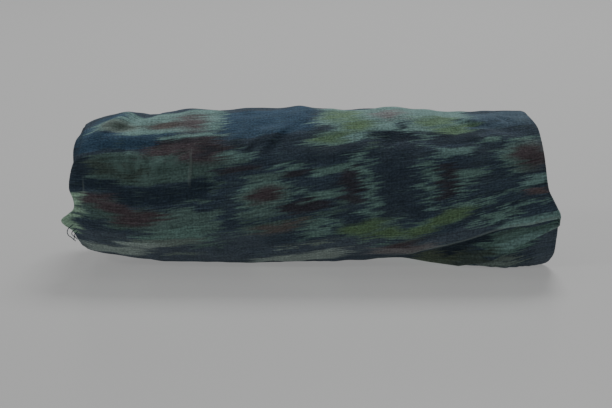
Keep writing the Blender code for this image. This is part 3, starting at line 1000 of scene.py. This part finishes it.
def shape_closeness(n, spots, shape):
    """How far inside a shape a place is, in mm along the yarns; negative outside."""
    x, angle = np.array([shape.x]), np.array([shape.angle])
    middle = yarn_height(x, angle, angle - edge_angle(x, "outer"))[0]
    middle = (middle - REPEAT_START) % REPEAT + REPEAT_START
    spot = spots[shape.climb]
    rise = middle - shape.climb * shape.x
    if shape.form == SPOT:
        part = n.vector("MULTIPLY_ADD", spot, (1 / shape.half_x, 1 / shape.half_y, 0.0),
                        (-shape.x / shape.half_x, -rise / shape.half_y, 0.0))
        return n.math("MULTIPLY_ADD", n.length(part), -shape.half_x, shape.half_x)
    offset = n.vector("ABSOLUTE", n.vector("SUBTRACT", spot, (shape.x, rise, 0.0)))
    inside = n.vector("MULTIPLY_ADD", offset, (-1.0, -ACROSS, 0.0),
                      (shape.half_x, ACROSS * shape.half_y, 0.0))
    return n.math("MINIMUM", n.dot(inside, (1.0, 0.0, 0.0)), n.dot(inside, (0.0, 1.0, 0.0)))


def yarn_shift(n, yarn_random):
    """How far the dye on each yarn is shifted along it."""
    bundle = n.math("FLOOR", n.math("DIVIDE", n.v, BUNDLE))
    bundle_random = n.random(n.math("ADD", bundle, BUNDLE_SEED))
    shift = n.math("MULTIPLY_ADD", yarn_random, YARN_SHIFT, -YARN_SHIFT / 2)
    shift = n.moved(bundle_random, BUNDLE_SHIFT, shift)
    shift = n.moved(n.wave(NEAR), NEAR_SHIFT, shift)
    return n.moved(n.wave(BROAD), BROAD_SHIFT, shift)


def dyed_and_painted_light_colour(n, yarn, yarn_random, drift):
    """The ground's colour with each shape laid on it in turn, shifted yarn by yarn: dyes, and a few
    painted shade and light marks.
    """
    moved_u = n.math("ADD", n.u, yarn_shift(n, yarn_random))
    stepped = n.math("MULTIPLY_ADD", yarn, YARN, 0.5 * YARN)
    stepped = n.moved(drift, DRIFT_ACROSS, stepped)
    wrapped = n.math("WRAP", stepped, REPEAT_START + REPEAT, REPEAT_START)
    spots = {}
    for climb in sorted({shape.climb for shape in SHAPES}):
        level = n.math("MULTIPLY_ADD", moved_u, -climb, wrapped) if climb else wrapped
        spots[climb] = n.join(moved_u, level, 0.0)
    streak = n.range(n.wave(STREAK), *STREAK_BREAK, smooth=False)
    ground = n.range(n.wave(GROUND), *GROUND_BLEND)
    colour = n.mix(ground, rgba(COLOURS["dark"]), rgba(COLOURS["indigo"]))
    for name, shapes in groupby(SHAPES, key=lambda shape: shape.colour):
        closeness = None
        for shape in shapes:
            inside = shape_closeness(n, spots, shape)
            inside = n.math("MULTIPLY_ADD", streak, STREAK_REACH * shape.broken, inside)
            closeness = inside if closeness is None else n.math("MAXIMUM", closeness, inside)
        feather = SOFT_FEATHER if name in SOFT_COLOURS else FEATHER
        mask = n.range(closeness, -feather, feather)
        colour = n.mix(mask, colour, rgba(COLOURS[name]))
    return colour


def weave_tone(n, yarn_random, grain):
    """How much brighter or darker each yarn is than its dye."""
    fine = n.range(n.wave(FINE), *FINE_TONE, smooth=False)
    per_yarn = n.math("MULTIPLY_ADD", yarn_random, YARN_TONE, 1 - YARN_TONE / 2)
    warp_random = n.random(n.math("FLOOR", n.math("DIVIDE", n.u, WARP)))
    per_warp = n.math("MULTIPLY_ADD", warp_random, WARP_TONE, 1 - WARP_TONE / 2)
    tone = n.math("MULTIPLY", n.math("MULTIPLY", fine, per_yarn), per_warp)
    return n.math("MULTIPLY", tone, grain)


def worn_and_highlighted_colour(n, colour, drift):
    """The colour with its pale haze, painted highlights on the puckers, flecks, its wear at lines,
    and the free edges' pale line, partly wear and partly painted highlight.
    """
    pale = rgba(COLOURS["pale_grey"])
    haze = n.range(n.wave(HAZE), *HAZE_SHARE)
    colour = n.mix(haze, colour, pale)
    # Painted highlight: teal patches where the puckers at the upper left catch the light
    pucker_highlight = n.range(n.wave(PUCKER_HIGHLIGHT), *PUCKER_HIGHLIGHT_SHARE)
    (middle_u, middle_v), (half_u, half_v) = PUCKER_HIGHLIGHT_MIDDLE, PUCKER_HIGHLIGHT_HALF
    from_middle = n.vector("MULTIPLY_ADD", n.join(n.u, n.v, 0.0), (1 / half_u, 1 / half_v, 0.0),
                           (-middle_u / half_u, -middle_v / half_v, 0.0))
    highlight_zone = n.range(n.length(from_middle), *PUCKER_HIGHLIGHT_FADE)
    colour = n.mix(n.math("MULTIPLY", pucker_highlight, highlight_zone), colour, rgba(COLOURS["teal"]))
    fleck = n.range(n.wave(FLECK), *FLECK_SHARE)
    colour = n.mix(fleck, colour, rgba(COLOURS["soft_teal"]))
    for line in WORN_LINES:
        start = n.math("ADD", n.u, -line.x - LINE_WOBBLE / 2)
        across = n.math("ABSOLUTE", n.math("MULTIPLY_ADD", drift, LINE_WOBBLE, start))
        share = n.range(across, line.half_width, LINE_CORE * line.half_width, 0.0, line.strength)
        along = n.math("ABSOLUTE", n.math("ADD", n.v, -line.height))
        reach = n.range(along, line.reach, REACH_CORE * line.reach)
        colour = n.mix(n.math("MULTIPLY", share, reach), colour, pale)
    # The free edges' pale line: wear, and a painted highlight where the rounded hem catches the light
    return n.mix(n.range(n.from_edge, *EDGE_WEAR_AND_HIGHLIGHT), colour, pale)


def weave_height(n, grain):
    """Height of the weave, its uneven yarns and its grain."""
    weft = n.math("SINE", n.math("MULTIPLY", n.v, 2 * math.pi / YARN))
    warp = n.math("SINE", n.math("MULTIPLY", n.u, 2 * math.pi / WARP))
    height = n.math("MULTIPLY", weft, WEAVE_HEIGHT)
    height = n.math("MULTIPLY_ADD", n.wave(SLUB), SLUB_HEIGHT, height)
    height = n.math("MULTIPLY_ADD", warp, WEAVE_HEIGHT, height)
    return n.math("MULTIPLY_ADD", grain, GRAIN_HEIGHT, height)


def ikat_material():
    """Resist-dyed cotton: dyed shapes, with some painted shade and light among them, that each yarn
    shifts along itself, wear, painted highlights and weave.
    """
    material = bpy.data.materials.new("ikat_cotton_weave")
    material.use_nodes = True
    tree = material.node_tree
    n = ClothNodes(tree)
    shader = tree.nodes["Principled BSDF"]
    yarn = n.math("FLOOR", n.math("DIVIDE", n.v, YARN))
    yarn_random = n.random(yarn)
    drift = n.wave(DRIFT)
    colour = dyed_and_painted_light_colour(n, yarn, yarn_random, drift)
    grain = n.range(n.wave(GRAIN), *GRAIN_TONE, smooth=False)
    tone = weave_tone(n, yarn_random, grain)
    colour = n.mix(1.0, colour, n.join(tone, tone, tone), "MULTIPLY")
    n.feed(shader.inputs["Base Color"], worn_and_highlighted_colour(n, colour, drift))
    shader.inputs["Roughness"].default_value = 0.9
    shader.inputs["Sheen Weight"].default_value = 0.04
    shader.inputs["Sheen Roughness"].default_value = 0.5
    shader.inputs["Specular IOR Level"].default_value = 0.1
    bump = n.add("ShaderNodeBump")
    bump.inputs["Strength"].default_value = 0.5
    bump.inputs["Distance"].default_value = BUMP_DISTANCE * MM
    n.feed(bump.inputs["Height"], weave_height(n, grain))
    n.feed(shader.inputs["Normal"], bump.outputs["Normal"])
    return material


def plain_material(name, colour, roughness, specular):
    """A material with one colour, for the floor and the threads."""
    material = bpy.data.materials.new(name)
    material.use_nodes = True
    shader = material.node_tree.nodes["Principled BSDF"]
    shader.inputs["Base Color"].default_value = rgba(colour)
    shader.inputs["Roughness"].default_value = roughness
    shader.inputs["Specular IOR Level"].default_value = specular
    return material


# Camera: seen from the front and a little above, with a long lens
CAMERA_ELEVATION = math.radians(13.0)
CAMERA_DISTANCE = 1.31
FOCAL_PIXELS = 1785.0
IMAGE_WIDTH = 612
SENSOR_WIDTH = 36.0
AIM_RIGHT = -2.9
AIM_UP = -14.3

# The floor, with light that comes up through it, from near the camera to far, in metres
FLOOR_REACH = 6.0
FLOOR_COLOUR = (0.30, 0.30, 0.297)
GLOW_COLOUR = (1.0, 1.0, 0.99)
GLOW_REACH = 0.5
GLOW_NEAR = 0.233
GLOW_FAR = 0.255
WORLD_COLOUR = (0.93, 0.96, 1.0)
WORLD_STRENGTH = 0.12

# Area lights: place and target in metres, width and height in metres, and watts
Light = namedtuple("Light", "name place target size power")
LIGHTS = [
    Light("key", (0.5, 1.9, 2.3), (0.0, 0.2, 0.0), (1.1, 0.9), 62.0),
    Light("above", (0.0, 0.3, 1.6), (0.0, 0.2, 0.0), (1.6, 1.4), 4.0),
    Light("side", (-1.5, -1.2, 1.15), (0.0, 0.0, 0.05), (0.35, 0.35), 8.6),
]


def make_camera():
    """The camera, at the photograph's angle."""
    data = bpy.data.cameras.new("camera")
    data.sensor_width = SENSOR_WIDTH
    data.lens = FOCAL_PIXELS * SENSOR_WIDTH / IMAGE_WIDTH
    data.clip_start = 0.05
    data.clip_end = 30.0
    camera = bpy.data.objects.new("camera", data)
    bpy.context.scene.collection.objects.link(camera)
    up = Vector((0.0, math.sin(CAMERA_ELEVATION), math.cos(CAMERA_ELEVATION)))
    ahead = Vector((0.0, math.cos(CAMERA_ELEVATION), -math.sin(CAMERA_ELEVATION)))
    aim = Vector(AXIS) * MM + Vector((AIM_RIGHT * MM, 0.0, 0.0)) + up * AIM_UP * MM
    camera.location = aim - ahead * CAMERA_DISTANCE
    camera.rotation_mode = "QUATERNION"
    camera.rotation_quaternion = ahead.to_track_quat("-Z", "Y")
    bpy.context.scene.camera = camera


def make_light(light):
    """A soft rectangular light that faces its target."""
    data = bpy.data.lights.new(light.name, "AREA")
    data.shape = "RECTANGLE"
    data.size, data.size_y = light.size
    data.energy = light.power
    lamp = bpy.data.objects.new(light.name, data)
    bpy.context.scene.collection.objects.link(lamp)
    lamp.location = light.place
    lamp.rotation_mode = "QUATERNION"
    lamp.rotation_quaternion = (Vector(light.target) - lamp.location).to_track_quat("-Z", "Y")


def make_floor():
    """The pale floor."""
    mesh = bpy.data.meshes.new("floor")
    corners = [(x * FLOOR_REACH, y * FLOOR_REACH, 0) for x, y in ((-1, -1), (1, -1), (1, 1), (-1, 1))]
    mesh.from_pydata(corners, [], [(0, 1, 2, 3)])
    floor = bpy.data.objects.new("floor", mesh)
    bpy.context.scene.collection.objects.link(floor)
    pale = plain_material("pale_floor", FLOOR_COLOUR, 0.25, 0.35)
    shader = pale.node_tree.nodes["Principled BSDF"]
    shader.inputs["Emission Color"].default_value = rgba(GLOW_COLOUR)
    n = Nodes(pale.node_tree)
    where = n.add("ShaderNodeNewGeometry").outputs["Position"]
    away = n.dot(where, (0.0, 1.0, 0.0))
    glow = n.range(away, -GLOW_REACH, GLOW_REACH, GLOW_NEAR, GLOW_FAR)
    n.feed(shader.inputs["Emission Strength"], glow)
    mesh.materials.append(pale)


def make_stage():
    """The floor, the faint light all round, and the lamps."""
    make_floor()
    world = bpy.data.worlds.new("studio")
    world.use_nodes = True
    background = world.node_tree.nodes["Background"]
    background.inputs["Color"].default_value = rgba(WORLD_COLOUR)
    background.inputs["Strength"].default_value = WORLD_STRENGTH
    bpy.context.scene.world = world
    for light in LIGHTS:
        make_light(light)


def main():
    """The camera, the stage, the cloth's two sheets and its loose threads."""
    make_camera()
    make_stage()
    cloth = ikat_material()
    outer = make_outer_turn()
    inner = make_inner_turns()
    outer.data.materials.append(cloth)
    inner.data.materials.append(cloth)
    threads = make_threads()
    both = ("outer_flap", "cloth_roll")
    for piece, nodes in ((outer, both), (inner, ("cloth_roll",)), (threads, ("outer_flap",))):
        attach(piece, "root")
        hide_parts(*nodes)


main()
